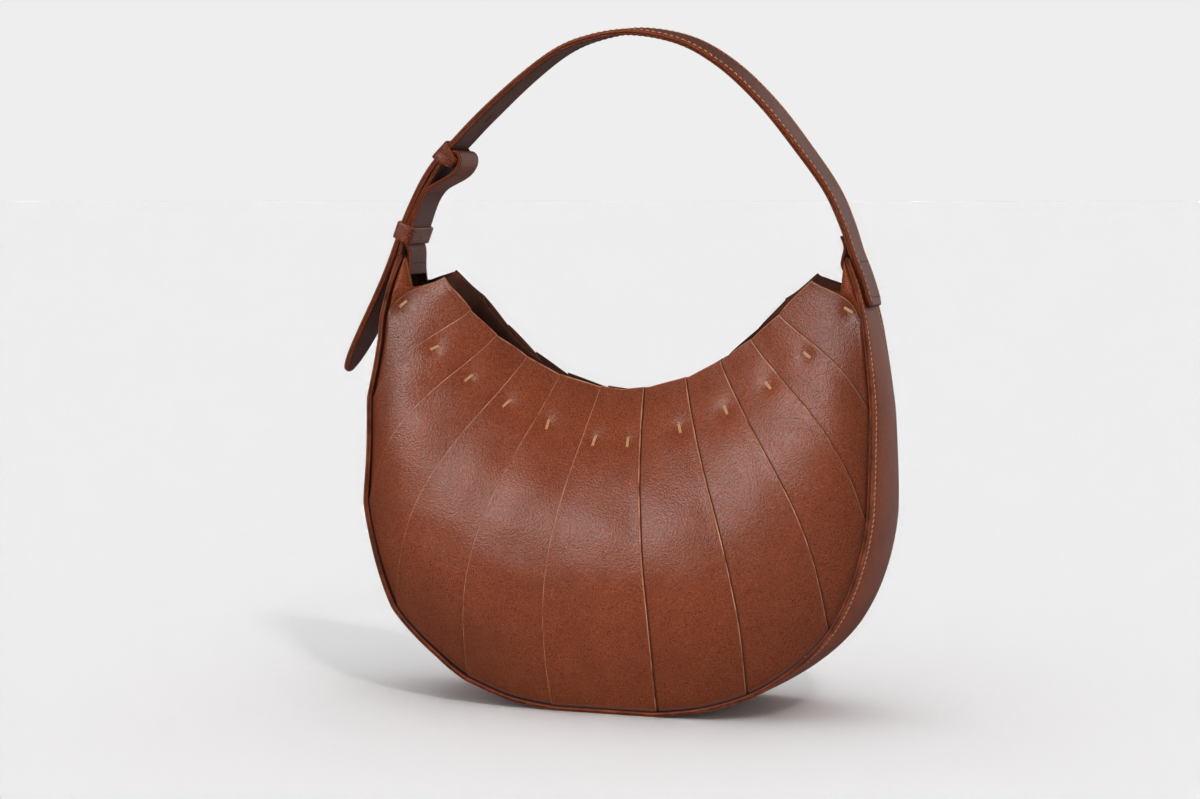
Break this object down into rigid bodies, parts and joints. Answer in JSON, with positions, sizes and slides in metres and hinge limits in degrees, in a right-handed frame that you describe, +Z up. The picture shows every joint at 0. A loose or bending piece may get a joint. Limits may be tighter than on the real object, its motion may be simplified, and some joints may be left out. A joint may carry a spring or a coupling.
{
  "type": "half-moon shoulder bag",
  "caption": "Half-moon leather shoulder bag with overlapping petals fanned over both bellied faces, a gusset round them and an arched strap sewn on at one side and tied in a loop at the other.",
  "frame": {"origin": "middle of the flattened bottom that the bag rests on, midway between its two faces", "axes": "+Z up, +X to the right along the bag's width, front face towards -Y"},
  "size_m": [0.3521, 0.1276, 0.4098],
  "materials": {
    "petal": "smooth fine-grained leather, soft sheen",
    "panel": "smooth fine-grained leather, dark inside",
    "gusset": "smooth leather, painted edges, tan stitching",
    "strap": "smooth leather, painted edges, tan stitching"
  },
  "bodies": {
    "root": {"back_petal_left_1": "petal", "back_petal_left_2": "petal", "back_petal_left_3": "petal", "back_petal_left_4": "petal", "back_petal_left_5": "petal", "back_petal_middle": "petal", "back_petal_right_1": "petal", "back_petal_right_2": "petal", "back_petal_right_3": "petal", "back_petal_right_4": "petal", "back_petal_right_5": "petal", "front_petal_left_1": "petal", "front_petal_left_2": "petal", "front_petal_left_3": "petal", "front_petal_left_4": "petal", "front_petal_left_5": "petal", "front_petal_middle": "petal", "front_petal_right_1": "petal", "front_petal_right_2": "petal", "front_petal_right_3": "petal", "front_petal_right_4": "petal", "front_petal_right_5": "petal", "back_panel": "panel", "front_panel": "panel", "gusset": "gusset", "keeper": "strap", "knot_band": "strap", "loop_strap": "strap", "strap": "strap", "strap_leaf": "strap"}
  },
  "joints": []
}
